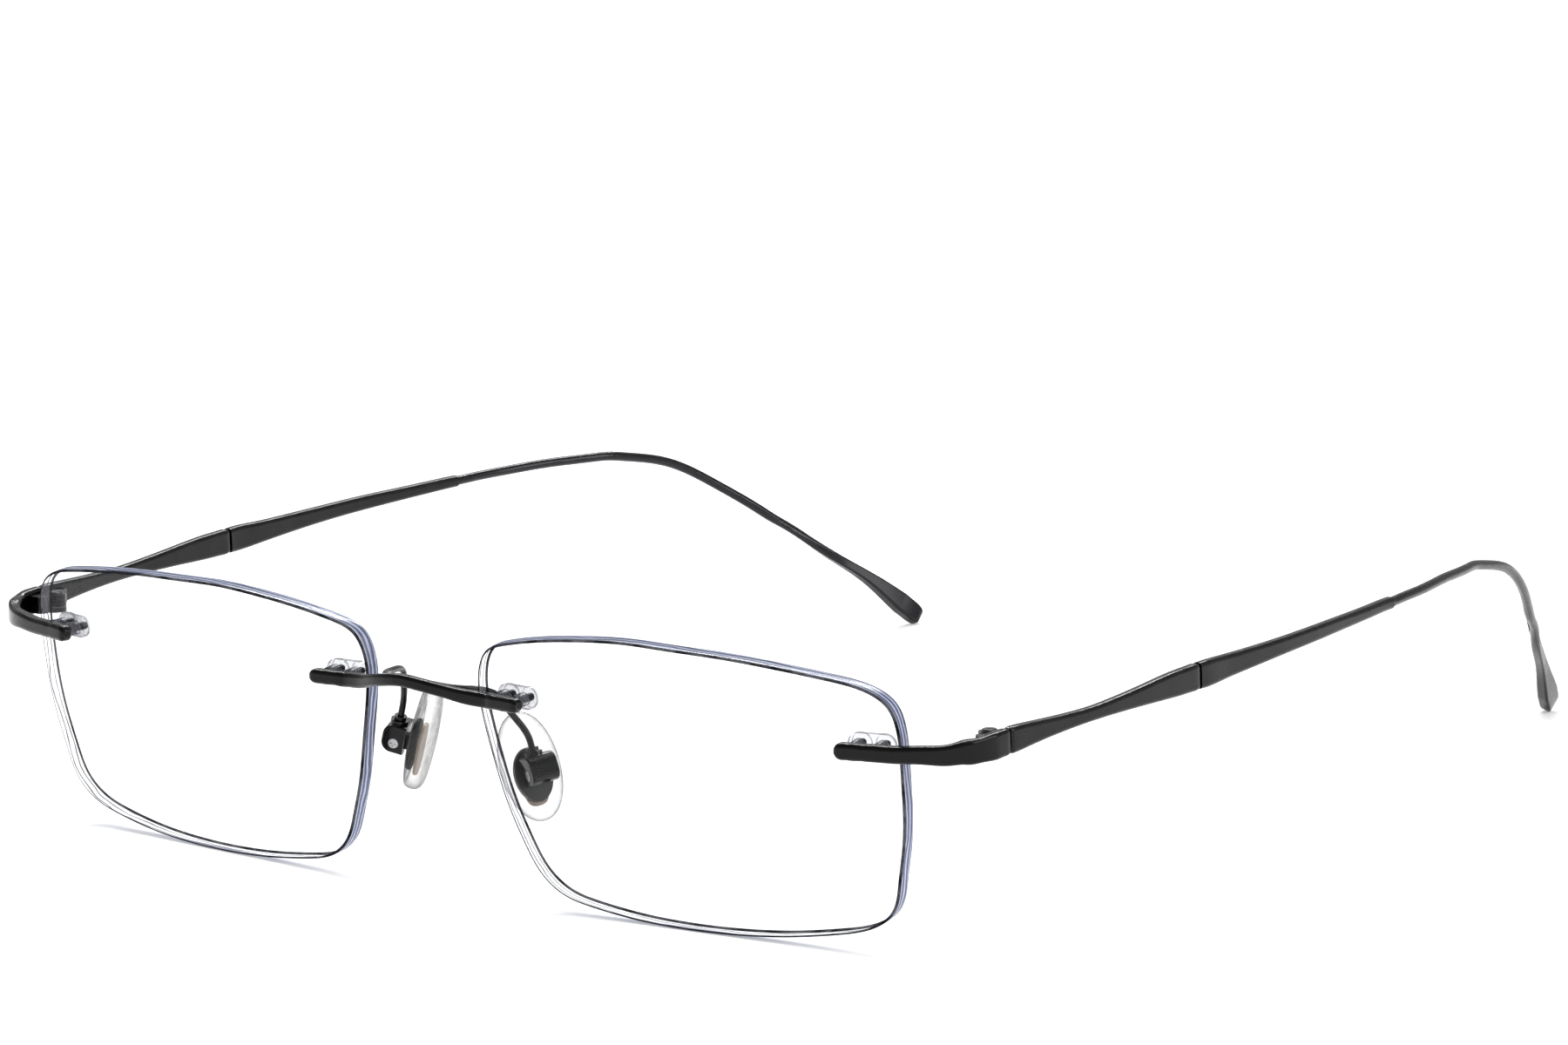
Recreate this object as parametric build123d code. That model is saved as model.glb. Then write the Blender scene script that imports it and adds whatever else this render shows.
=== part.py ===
from build123d import *
import math
import os

# Rimless spectacles on a table, temples open, millimetres, Z up.
# Origin: on the table plane (Z = 0), on the mirror plane between the two
# lenses (X = 0), half way between the front of the bridge and the temple tips.
# -Y is the front of the spectacles, +Y runs back along the temples and +X is
# the wearer's left.  The numbers below count Y from the lens box centres; each
# finished piece is moved forward by ORIGIN_Y.  Each side piece is drawn once as
# the left one and then mirrored in the YZ plane.

os.makedirs("parts", exist_ok=True)

# ------------------------------------------------------------- dimensions
ORIGIN_Y = 71.675            # from the lens box centres back to the origin
LENS_CENTRE_X = 34.83        # box centre of each lens from the mirror plane
LENS_CENTRE_Z = 15.25        # box centre of each lens above the table
LENS_WRAP_DEG = 5.09         # outer side of each lens turned back
LENS_TILT_DEG = 8.28         # lens bottom edge leant back, towards the cheek
LENS_FRONT_R = 134.7         # front surface radius of the lens
LENS_THICK = 1.60            # lens thickness
LENS_HOLE_R = 0.77           # drilled hole for one sleeve
# lens outline in its own plane, nasal side negative
LENS_OUTLINE = [
    (26.95, 0.0), (27.1, 4.5), (27.0, 8.8), (26.0, 11.8), (23.3, 13.6),
    (19.5, 14.5), (13.0, 15.4), (6.5, 16.0), (0.0, 16.25), (-6.0, 16.35),
    (-12.0, 15.9), (-18.0, 15.05), (-22.5, 14.05), (-25.5, 12.7),
    (-26.85, 9.5), (-26.6, 5.5), (-25.5, 0.6), (-24.2, -4.2),
    (-22.5, -8.5), (-20.7, -11.8), (-18.0, -13.85), (-14.0, -14.75),
    (-8.5, -15.3), (-2.0, -15.55), (5.0, -15.45), (11.5, -15.0),
    (17.5, -14.2), (21.8, -13.1), (24.3, -11.2), (25.6, -7.5),
    (26.45, -3.8),
]

INNER_MOUNT = (12.0, 23.15)  # X and Z of the bridge mount centre on the lens
OUTER_MOUNT = (57.75, 22.55) # X and Z of the endpiece mount centre on the lens
STUD_PITCH = 2.75            # between the two studs of one mount
STUD_R = 0.40
SLEEVE_BORE_R = 0.45
SLEEVE_R = 0.72
COLLAR_R = 1.15
BUSH_LENGTH = 5.5
BUSH_HEIGHT = 2.5
BUSH_PLATE = 0.60
BUSH_COLLAR = 0.35
BAR_OFFSET = 0.80            # bar centre line in front of the lens surface

BRIDGE_END_X = 14.95         # tip of the bridge bar
ENDPIECE_END_X = 54.75       # tip of the endpiece bar

HINGE_AXIS = (67.0, 12.40)   # X and Y of the hinge pin
HINGE_LOW_Z = 22.00
HINGE_HIGH_Z = 24.06
KNUCKLE_R = 1.20
PIN_BORE_R = 0.50
PIN_R = 0.45
SEAM_FRONT_Y = 12.27         # end face of the endpiece at the hinge seam

ARM_R = 0.37                 # guard arm wire radius

PAD_CENTRE = (7.64, 7.86, 14.39)
PAD_OUT = (0.86, -0.44, 0.26)     # from the nose pad towards its box
PAD_UP = (-0.31, -0.03, 0.95)
PAD_WIDE = 6.8
PAD_TALL = 12.2
# the two guard arms are bent by hand: each pad sits off the mean height
LEFT_PAD_DROP = -0.60
RIGHT_PAD_LIFT = 0.72

# temple centre line: X, Y, Z, full height, full thickness
TEMPLE_FRONT = [
    (69.31, 12.47, 23.29, 2.66, 1.04), (69.32, 12.72, 23.30, 2.84, 1.24),
    (69.34, 13.15, 23.32, 2.88, 1.28), (69.37, 13.95, 23.36, 2.82, 1.28),
    (69.45, 15.90, 23.46, 2.54, 1.26), (69.57, 18.20, 23.56, 2.20, 1.24),
    (69.72, 20.80, 23.66, 1.90, 1.22), (69.86, 23.50, 23.75, 1.68, 1.20),
    (69.97, 26.40, 23.85, 1.60, 1.20),
    (70.05, 29.50, 23.99, 1.74, 1.20), (70.11, 33.00, 24.15, 2.03, 1.20),
    (70.14, 36.40, 24.31, 2.40, 1.22), (70.15, 39.40, 24.44, 2.74, 1.24),
    (70.16, 41.90, 24.52, 2.91, 1.26), (70.16, 43.50, 24.57, 2.96, 1.26),
    (70.16, 44.35, 24.60, 2.92, 1.24), (70.16, 44.74, 24.61, 2.70, 1.02),
]
TEMPLE_REAR = [
    (70.160, 44.950, 24.620, 2.930, 1.260), (70.160, 49.252, 24.768, 2.747, 1.224),
    (70.147, 53.554, 24.939, 2.378, 1.198), (70.144, 57.855, 25.117, 2.118, 1.200),
    (70.049, 62.155, 25.289, 1.919, 1.200), (69.865, 66.453, 25.445, 1.801, 1.199),
    (69.550, 70.745, 25.577, 1.683, 1.221), (69.175, 75.032, 25.688, 1.555, 1.248),
    (68.774, 79.316, 25.808, 1.462, 1.284), (68.360, 83.600, 25.910, 1.380, 1.320),
]
TEMPLE_WIRE = [
    (68.352, 83.65, 25.911), (68.13, 85.60, 25.955), (67.78, 88.61, 26.02),
    (66.75, 94.60, 26.09), (65.70, 99.50, 26.08), (64.50, 104.60, 25.93),
    (63.45, 109.00, 25.50), (62.62, 113.40, 24.62), (61.75, 117.10, 23.45),
    (60.70, 120.50, 21.70), (59.00, 124.50, 19.08), (56.36, 129.64, 15.23),
    (53.52, 135.08, 10.99), (52.05, 137.95, 8.78), (50.85, 140.35, 6.98),
    (49.80, 142.40, 5.22), (48.96, 144.10, 3.62), (48.35, 145.33, 2.46),
    (47.94, 146.16, 1.68), (47.69, 146.67, 1.20), (47.53, 146.99, 0.90),
    (47.44, 147.17, 0.73), (47.40, 147.25, 0.65),
]
WIRE_TURN = 1                # sense of the turn: lower edge towards the nose
SPIGOT_R = 0.42              # turned-down wire end inside the strip
SPIGOT_LENGTH = 3.2
# full height, thickness and turn (degrees) of the wire section there
WIRE_SIZE = [
    (1.14, 1.14, 0), (1.14, 1.14, 0), (1.14, 1.14, 0), (1.14, 1.14, 0),
    (1.14, 1.14, 0), (1.14, 1.14, 0), (1.14, 1.14, 0), (1.14, 1.14, 0),
    (1.14, 1.14, 0), (1.14, 1.14, 0), (1.14, 1.12, 0), (1.14, 1.12, 0),
    (1.14, 1.12, 8), (1.16, 1.13, 16), (1.36, 1.20, 22), (1.85, 1.34, 24),
    (2.35, 1.46, 24), (2.55, 1.50, 24), (2.52, 1.48, 24), (2.42, 1.40, 24),
    (2.20, 1.26, 24), (1.95, 1.05, 24), (1.70, 0.82, 24),
]
# bridge bar centre line for X >= 0 (mirrored): X, Y, Z, height, thickness
BRIDGE_MID = [
    (0.0, -3.95, 24.55, 1.36, 1.26), (1.9, -3.82, 24.38, 1.36, 1.26),
    (3.6, -3.47, 24.10, 1.36, 1.26), (5.2, -2.95, 23.76, 1.38, 1.28),
    (6.7, -2.36, 23.40, 1.50, 1.32), (8.1, -1.92, 23.20, 1.62, 1.38),
]
# endpiece after it leaves the lens: X, Y, Z, height, thickness
ENDPIECE_WRAP = [
    (62.9, 3.76, 22.56, 1.88, 1.46), (65.2, 4.60, 22.64, 2.02, 1.42),
    (67.30, 5.95, 22.78, 2.30, 1.38), (68.65, 7.75, 22.95, 2.66, 1.34),
    (69.18, 9.45, 23.09, 2.86, 1.32), (69.30, 10.85, 23.19, 2.92, 1.30),
    (69.31, 11.65, 23.24, 2.90, 1.28), (69.305, 12.05, 23.26, 2.82, 1.22),
    (69.30, SEAM_FRONT_Y, 23.27, 2.64, 1.04),
]


# ---------------------------------------------------------------- helpers
def unit(a):
    n = math.sqrt(sum(c * c for c in a))
    return tuple(c / n for c in a)


def cross(a, b):
    return (a[1] * b[2] - a[2] * b[1], a[2] * b[0] - a[0] * b[2], a[0] * b[1] - a[1] * b[0])


def add(a, b, k=1.0):
    return tuple(x + k * y for x, y in zip(a, b))


def mirrored(shape):
    return mirror(shape, about=Plane.YZ)


def save(shape, name):
    shape = shape.moved(Location((0, -ORIGIN_Y, 0)))
    shape.label = name
    export_step(shape, "parts/" + name + ".step")


def rounded_bar(stations, corner=0.32, up=(0, 0, 1)):
    """Loft rounded rectangles square to the path through the stations."""
    faces = []
    n = len(stations)
    for i, (x, y, z, h, t) in enumerate(stations):
        a = stations[max(i - 1, 0)][:3]
        b = stations[min(i + 1, n - 1)][:3]
        tan = unit(add(b, a, -1))
        side = unit(cross(tan, up))
        frame = Plane(origin=(x, y, z), x_dir=side, z_dir=tan)
        r = min(corner * min(h, t), 0.49 * min(h, t))
        faces.append(frame * RectangleRounded(t, h, r))
    return loft(faces)


# ------------------------------------------------------------------ lens
phi = math.radians(LENS_WRAP_DEG)
tau = math.radians(LENS_TILT_DEG)
LU = (math.cos(phi), math.sin(phi), 0.0)
LW = (math.cos(tau) * math.sin(phi), -math.cos(tau) * math.cos(phi), -math.sin(tau))
LENS_O = (LENS_CENTRE_X, 0.0, LENS_CENTRE_Z)
SPHERE_C = add(LENS_O, LW, -LENS_FRONT_R)


def on_front(x, z):
    """Point and outward normal of the lens front surface above X, Z."""
    dy = math.sqrt(LENS_FRONT_R ** 2 - (x - SPHERE_C[0]) ** 2 - (z - SPHERE_C[2]) ** 2)
    p = (x, SPHERE_C[1] - dy, z)
    return p, unit(add(p, SPHERE_C, -1))


def mount_plane(xz):
    p, n = on_front(*xz)
    t = unit(cross((0, 0, 1), n))
    return Plane(origin=p, x_dir=t, z_dir=n)


inner_plane = mount_plane(INNER_MOUNT)
outer_plane = mount_plane(OUTER_MOUNT)


def disc(plane, x, y, z, r, h):
    """Cylinder on a plane's local axes, from z to z + h."""
    return plane * Pos(x, y, z + h / 2) * Cylinder(r, h)


lens_plane = Plane(origin=LENS_O, x_dir=LU, z_dir=LW)
outline = Spline(*[(u, v) for u, v in LENS_OUTLINE], periodic=True)
blank = extrude(lens_plane * make_face(outline), amount=9, both=True)
lens = blank & (Pos(*SPHERE_C) * Sphere(LENS_FRONT_R))
lens = lens - (Pos(*SPHERE_C) * Sphere(LENS_FRONT_R - LENS_THICK))
for plane in (inner_plane, outer_plane):
    for s in (-1, 1):
        lens = lens - disc(plane, s * STUD_PITCH / 2, 0, -4, LENS_HOLE_R, 8)
# resting facet ground on the bottom edge
lens = lens - Pos(LENS_CENTRE_X, 0, -5) * Box(80, 40, 10)
lens = lens.solids().sort_by(SortBy.VOLUME)[-1]
save(lens, "left_lens")
save(mirrored(lens), "right_lens")


# ---------------------------------------------------- lens bushings (clear)
def bushing(plane):
    back = -LENS_THICK - 0.05
    body = plane * Pos(0, 0, back - BUSH_PLATE) * extrude(SlotOverall(BUSH_LENGTH, BUSH_HEIGHT), amount=BUSH_PLATE)
    for s in (-1, 1):
        x = s * STUD_PITCH / 2
        body = body + disc(plane, x, 0, back - BUSH_PLATE - BUSH_COLLAR, COLLAR_R, BUSH_COLLAR + 0.1)
        body = body + disc(plane, x, 0, back - 0.1, SLEEVE_R, LENS_THICK - 0.02)
    for s in (-1, 1):
        x = s * STUD_PITCH / 2
        body = body - disc(plane, x, 0, -6, SLEEVE_BORE_R, 8)
    return body.solids().sort_by(SortBy.VOLUME)[-1]


bush_in = bushing(inner_plane)
bush_out = bushing(outer_plane)
save(bush_in, "left_inner_bushing")
save(mirrored(bush_in), "right_inner_bushing")
save(bush_out, "left_outer_bushing")
save(mirrored(bush_out), "right_outer_bushing")


def studs(plane):
    deep = LENS_THICK + 0.05 + BUSH_PLATE + BUSH_COLLAR + 0.12
    parts = []
    for s in (-1, 1):
        x = s * STUD_PITCH / 2
        parts.append(disc(plane, x, 0, -deep, STUD_R, deep + BAR_OFFSET))
    return parts


# ---------------------------------------------------------------- bridge
def on_mount(plane, s, h, t):
    """Bar station at distance s along a mount plane's X axis."""
    p = plane.from_local_coords(Vector(s, 0, BAR_OFFSET))
    return (p.X, p.Y, p.Z, h, t)


def end_profile(tip, inward, h, t, plane):
    """Stations that round a bar's end off in height and thickness."""
    out = []
    for d, fh, ft in ((0.0, 0.40, 0.62), (0.20, 0.72, 0.84), (0.50, 0.93, 0.96), (0.95, 1.0, 1.0)):
        out.append(on_mount(plane, tip + inward * d, h * fh, t * ft))
    return out


tip_in = BRIDGE_END_X - INNER_MOUNT[0]
right_half = [on_mount(inner_plane, s, h, t) for s, h, t in
              ((-2.25, 1.62, 1.44), (-0.85, 1.62, 1.46), (0.35, 1.62, 1.46), (1.25, 1.62, 1.46))]
half = BRIDGE_MID[1:] + right_half + end_profile(tip_in, -1, 1.62, 1.46, inner_plane)[::-1]
other = [(-x, y, z, h, t) for x, y, z, h, t in half][::-1]
bridge = rounded_bar(other + [BRIDGE_MID[0]] + half)
for stud in studs(inner_plane):
    bridge = bridge + stud + mirrored(stud)
bridge = bridge.solids().sort_by(SortBy.VOLUME)[-1]
save(bridge, "bridge")

# -------------------------------------------------------------- endpieces
tip_out = -3.09
flat = [on_mount(outer_plane, s, h, t) for s, h, t in
        ((-1.40, 1.84, 1.50), (-0.45, 1.84, 1.50), (0.8, 1.84, 1.50), (2.2, 1.84, 1.50), (3.7, 1.85, 1.48))]
endpiece = rounded_bar(end_profile(tip_out, 1, 1.84, 1.50, outer_plane) + flat + ENDPIECE_WRAP)
for stud in studs(outer_plane):
    endpiece = endpiece + stud
endpiece = endpiece.solids().sort_by(SortBy.VOLUME)[-1]
save(endpiece, "left_endpiece")
save(mirrored(endpiece), "right_endpiece")

# ---------------------------------------------------------------- hinges
hx, hy = HINGE_AXIS


def column(x, y, z0, z1, r):
    return Pos(x, y, (z0 + z1) / 2) * Cylinder(r, z1 - z0)


def prism(points, z0, z1):
    return Pos(0, 0, z0) * extrude(make_face(Polyline(*points, close=True)), amount=z1 - z0)


mid_low, mid_high = HINGE_LOW_Z + 0.64, HINGE_HIGH_Z - 0.64
front_leaf = prism([(66.75, 10.35), (67.2, 9.75), (68.49, 9.75), (68.60, 10.6), (68.61, 11.3), (68.61, 12.25), (66.75, 12.25)], HINGE_LOW_Z + 0.05, HINGE_HIGH_Z - 0.05)
front_leaf = front_leaf + column(hx, hy, HINGE_LOW_Z, HINGE_HIGH_Z, KNUCKLE_R)
front_leaf = front_leaf - column(hx, hy, mid_low - 0.04, mid_high + 0.04, KNUCKLE_R + 0.08)
front_leaf = front_leaf - column(hx, hy, 20, 26, PIN_BORE_R)
front_leaf = front_leaf - Pos(68.75, 12.25 + 2, 23) * Box(1.2, 4, 6)
front_leaf = front_leaf.solids().sort_by(SortBy.VOLUME)[-1]

temple_leaf = prism([(67.75, 13.75), (68.62, 13.75), (68.72, 15.6), (68.30, 15.6)], 22.40, 24.00)
temple_leaf = temple_leaf + prism([(67.0, 12.6), (68.56, 12.6), (68.64, 14.2), (67.75, 14.2), (66.9, 13.4)], mid_low, mid_high)
temple_leaf = temple_leaf + column(hx, hy, mid_low, mid_high, KNUCKLE_R)
temple_leaf = temple_leaf - column(hx, hy, 20, 26, PIN_BORE_R)
temple_leaf = temple_leaf.solids().sort_by(SortBy.VOLUME)[-1]

screw = column(hx, hy, HINGE_LOW_Z - 0.08, HINGE_HIGH_Z + 0.1, PIN_R)
head = column(hx, hy, HINGE_HIGH_Z + 0.02, HINGE_HIGH_Z + 0.26, 0.82)
head = chamfer(head.edges().group_by(Axis.Z)[-1], 0.08)
screw = screw + head
screw = screw - Pos(hx, hy, HINGE_HIGH_Z + 0.26) * Box(2, 0.22, 0.30)

for side, turn in (("left", False), ("right", True)):
    for shape, name in ((front_leaf, "front_hinge"), (temple_leaf, "temple_hinge"), (screw, "hinge_screw")):
        save(mirrored(shape) if turn else shape, side + "_" + name)

# --------------------------------------------------------------- temples
t_front = rounded_bar(TEMPLE_FRONT, 0.36)
t_rear = rounded_bar(TEMPLE_REAR, 0.40)
# spigot joining the two strips at the mid seam
seam = Plane(origin=(70.16, 44.85, 24.615), x_dir=(1, 0, 0), z_dir=unit((0, 1, 0.03)))
t_front = t_front - seam * Pos(0, 0, -1.6) * Box(0.56, 1.36, 3.4)
t_rear = t_rear + seam * Pos(0, 0, -0.4) * Box(0.50, 1.30, 4.0)
# wire: a round rod that ends in a flat flared paddle
faces = []
count = len(TEMPLE_WIRE)
for i, ((x, y, z), (h, t, turn)) in enumerate(zip(TEMPLE_WIRE, WIRE_SIZE)):
    a, b = TEMPLE_WIRE[max(i - 1, 0)], TEMPLE_WIRE[min(i + 1, count - 1)]
    tan = unit(add(b, a, -1))
    side = unit(cross(tan, (0, 0, 1)))
    r = 0.495 * min(h, t) if turn == 0 else max(0.20, 0.495 - 0.018 * turn) * t
    faces.append(Plane(origin=(x, y, z), x_dir=side, z_dir=tan) * Rot(0, 0, WIRE_TURN * turn) * RectangleRounded(t, h, r))
t_wire = loft(faces)
# turned-down end of the wire and its socket in the strip
a, b = TEMPLE_WIRE[0], TEMPLE_WIRE[1]
axis = unit(add(b, a, -1))
socket = Plane(origin=a, x_dir=unit(cross(axis, (0, 0, 1))), z_dir=axis)
t_wire = t_wire + socket * Pos(0, 0, 0.4 - SPIGOT_LENGTH / 2) * Cylinder(SPIGOT_R, SPIGOT_LENGTH)
t_rear = t_rear - socket * Pos(0, 0, 0.3 - SPIGOT_LENGTH / 2) * Cylinder(SPIGOT_R + 0.03, SPIGOT_LENGTH + 0.1)
t_wire = t_wire - Pos(47, 147, -5) * Box(20, 20, 10)
parts = {"temple_front": t_front, "temple_rear": t_rear, "temple_wire": t_wire}
for name, shape in parts.items():
    solid = shape.solids().sort_by(SortBy.VOLUME)[-1]
    save(solid, "left_" + name)
    save(mirrored(solid), "right_" + name)

# ------------------------------------- nose pads, pad boxes and guard arms
pn = unit(PAD_OUT)
k = sum(a * b for a, b in zip(PAD_UP, pn))
pa = unit(add(PAD_UP, pn, -k))
pd = cross(pa, pn)
SCREW_P, SCREW_S = 2.85, -0.87    # pad screw axis, outwards and up from the pad centre
ARM_Q, ARM_P = -0.30, 2.90        # guard arm in the box, depth and outwards
PLATE_Q, PLATE_S = -0.20, -0.90   # centre of the oval plate moulded into the pad
PLATE_WIDE, PLATE_TALL = 4.30, 6.00
BOX_DEEP, BOX_HIGH, BOX_OUT = 3.30, 3.25, 2.60
# arm centre line and the share of the side's height offset taken up there
ARM_POINTS = [
    (2.5, -2.65, 24.25, 0.0), (3.7, -2.28, 24.22, 0.15), (4.75, -1.20, 24.05, 0.40),
    (5.55, 0.60, 23.80, 0.55), (6.25, 2.50, 23.45, 0.75), (6.85, 3.95, 22.72, 0.90),
    (7.40, 4.68, 21.40, 0.97),
]


def pad_group(dz):
    """Pad, plate, box, screw and arm for a pad moved up by dz."""
    # local axes: X = depth along the pad, Y = up the pad, Z = outwards to the box
    frame = Plane(origin=add(PAD_CENTRE, (0, 0, dz)), x_dir=pd, z_dir=pn)
    flip = 1 if sum(a * b for a, b in zip(tuple(frame.y_dir), pa)) > 0 else -1
    cross_axis = Rot(0, 90, 0)

    def at(q, s, p):
        return frame * Pos(q, flip * s, p)

    def out(e):
        return (e.center() - Vector(*frame.origin)).dot(Vector(*pn))

    def along(e, axis):
        return abs((e % 0.5).dot(Vector(*axis)))

    pad = at(0, 0, -1.35) * extrude(Ellipse(PAD_WIDE / 2, PAD_TALL / 2), amount=2.35)
    pad = fillet(pad.edges(), 0.85)
    pad = pad - at(PLATE_Q, PLATE_S, 0.58) * extrude(Ellipse(PLATE_WIDE / 2 + 0.05, PLATE_TALL / 2 + 0.05), amount=2)
    pad = pad.solids().sort_by(SortBy.VOLUME)[-1]

    plate = at(PLATE_Q, PLATE_S, 0.62) * extrude(Ellipse(PLATE_WIDE / 2, PLATE_TALL / 2), amount=0.50)
    plate = plate + at(0, SCREW_S, (0.9 + SCREW_P) / 2) * Box(0.90, 1.70, SCREW_P - 0.9)
    plate = plate + at(0, SCREW_S, SCREW_P) * cross_axis * Cylinder(0.85, 0.90)
    plate = plate - at(0, SCREW_S, SCREW_P) * cross_axis * Cylinder(0.41, 4)
    plate = plate.solids().sort_by(SortBy.VOLUME)[-1]

    box = at(0, -0.42, 2.97) * Box(BOX_DEEP, BOX_HIGH, BOX_OUT)
    outer = sorted([e for e in box.edges() if along(e, pd) > 0.9], key=out)
    box = fillet(outer[2:], 1.20)
    box = fillet([e for e in box.edges() if along(e, pd) < 0.3 and out(e) > 1.8], 0.22)
    for r, s0, s1 in ((1.00, 1.02, 1.58), (0.70, 1.48, 2.02)):
        box = box + at(ARM_Q, (s0 + s1) / 2, ARM_P) * Rot(90, 0, 0) * Cylinder(r, s1 - s0)
    box = box - at(0, -1.25, 2.72) * Box(1.06, 3.0, 2.4)
    box = box - at(0, SCREW_S, SCREW_P) * cross_axis * Cylinder(0.41, 6)
    box = box - at(0, SCREW_S, SCREW_P) * cross_axis * Pos(0, 0, -1.65) * Cylinder(0.60, 0.80)
    box = box - at(ARM_Q, 2.0, ARM_P) * Rot(90, 0, 0) * Cylinder(ARM_R + 0.03, 1.60)
    box = box.solids().sort_by(SortBy.VOLUME)[-1]

    screw = at(0, SCREW_S, SCREW_P) * cross_axis * Cylinder(0.36, 3.1)
    screw = screw + at(0, SCREW_S, SCREW_P) * cross_axis * Pos(0, 0, -1.50) * Cylinder(0.55, 0.38)
    screw = screw - at(0, SCREW_S, SCREW_P) * cross_axis * Pos(0, 0, -1.70) * Box(0.16, 0.80, 0.24)
    screw = screw - at(0, SCREW_S, SCREW_P) * cross_axis * Pos(0, 0, -1.70) * Box(0.80, 0.16, 0.24)

    points = [(x, y, z + w * dz) for x, y, z, w in ARM_POINTS]
    for s in (2.90, 2.20, 1.35):
        e = frame.from_local_coords(Vector(ARM_Q, flip * s, ARM_P))
        points.append((e.X, e.Y, e.Z))
    path = Spline(*points)
    arm = sweep(Plane(origin=path @ 0, z_dir=path % 0) * Circle(ARM_R), path=path)
    arm = arm.solids().sort_by(SortBy.VOLUME)[-1]
    return {"nose_pad": pad, "pad_insert": plate, "pad_box": box, "pad_screw": screw, "guard_arm": arm}


for name, shape in pad_group(LEFT_PAD_DROP).items():
    save(shape, "left_" + name)
for name, shape in pad_group(RIGHT_PAD_LIFT).items():
    save(mirrored(shape), "right_" + name)
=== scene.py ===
import math

import bmesh
import bpy
import numpy as np
from mathutils import Matrix, Vector


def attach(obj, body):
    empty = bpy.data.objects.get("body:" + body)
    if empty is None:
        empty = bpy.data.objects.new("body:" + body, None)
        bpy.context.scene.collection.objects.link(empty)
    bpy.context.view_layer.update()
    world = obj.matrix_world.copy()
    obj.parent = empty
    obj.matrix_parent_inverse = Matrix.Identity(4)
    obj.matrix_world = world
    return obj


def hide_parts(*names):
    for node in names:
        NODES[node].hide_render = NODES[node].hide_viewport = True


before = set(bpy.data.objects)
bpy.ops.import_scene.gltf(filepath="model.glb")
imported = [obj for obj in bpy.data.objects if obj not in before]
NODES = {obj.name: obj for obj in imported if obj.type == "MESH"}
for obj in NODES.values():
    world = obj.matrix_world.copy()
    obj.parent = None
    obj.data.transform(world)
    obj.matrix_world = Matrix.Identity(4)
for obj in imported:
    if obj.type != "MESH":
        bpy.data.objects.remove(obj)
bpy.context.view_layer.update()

MM = 0.001

# ------------------------------------------------------------ shared numbers
# the same driving dimensions as the CAD, in millimetres
ORIGIN_Y = 71.675
LENS_O = np.array((34.83, -ORIGIN_Y, 15.25))
LENS_R, LENS_T = 134.7, 1.60
PHI, TAU = math.radians(5.09), math.radians(8.28)
LENS_OUTLINE = [
    (26.95, 0.0), (27.1, 4.5), (27.0, 8.8), (26.0, 11.8), (23.3, 13.6),
    (19.5, 14.5), (13.0, 15.4), (6.5, 16.0), (0.0, 16.25), (-6.0, 16.35),
    (-12.0, 15.9), (-18.0, 15.05), (-22.5, 14.05), (-25.5, 12.7),
    (-26.85, 9.5), (-26.6, 5.5), (-25.5, 0.6), (-24.2, -4.2),
    (-22.5, -8.5), (-20.7, -11.8), (-18.0, -13.85), (-14.0, -14.75),
    (-8.5, -15.3), (-2.0, -15.55), (5.0, -15.45), (11.5, -15.0),
    (17.5, -14.2), (21.8, -13.1), (24.3, -11.2), (25.6, -7.5),
    (26.45, -3.8),
]
MOUNTS = ((12.0, 23.15), (57.75, 22.55))
STUD_PITCH, HOLE_R = 2.75, 0.77
PAD_CENTRE = np.array((7.64, 7.86 - ORIGIN_Y, 14.39))
PAD_OUT = np.array((0.86, -0.44, 0.26))
PAD_UP = np.array((-0.31, -0.03, 0.95))
PAD_SHIFT = {"left": -0.60, "right": 0.72}
PAD_WIDE, PAD_TALL = 6.8, 12.2
PLATE_Q, PLATE_S, PLATE_WIDE, PLATE_TALL = -0.20, -0.90, 4.30, 6.00

LU = np.array((math.cos(PHI), math.sin(PHI), 0.0))
LW = np.array((math.cos(TAU) * math.sin(PHI), -math.cos(TAU) * math.cos(PHI), -math.sin(TAU)))
LV = np.cross(LW, LU)
SPHERE_C = LENS_O - LENS_R * LW


def norm(a):
    return a / np.linalg.norm(a)


# ------------------------------------------------------------- node helpers
def new_material(name):
    m = bpy.data.materials.new(name)
    m.use_nodes = True
    nt = m.node_tree
    nt.nodes.clear()
    return m, nt


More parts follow.
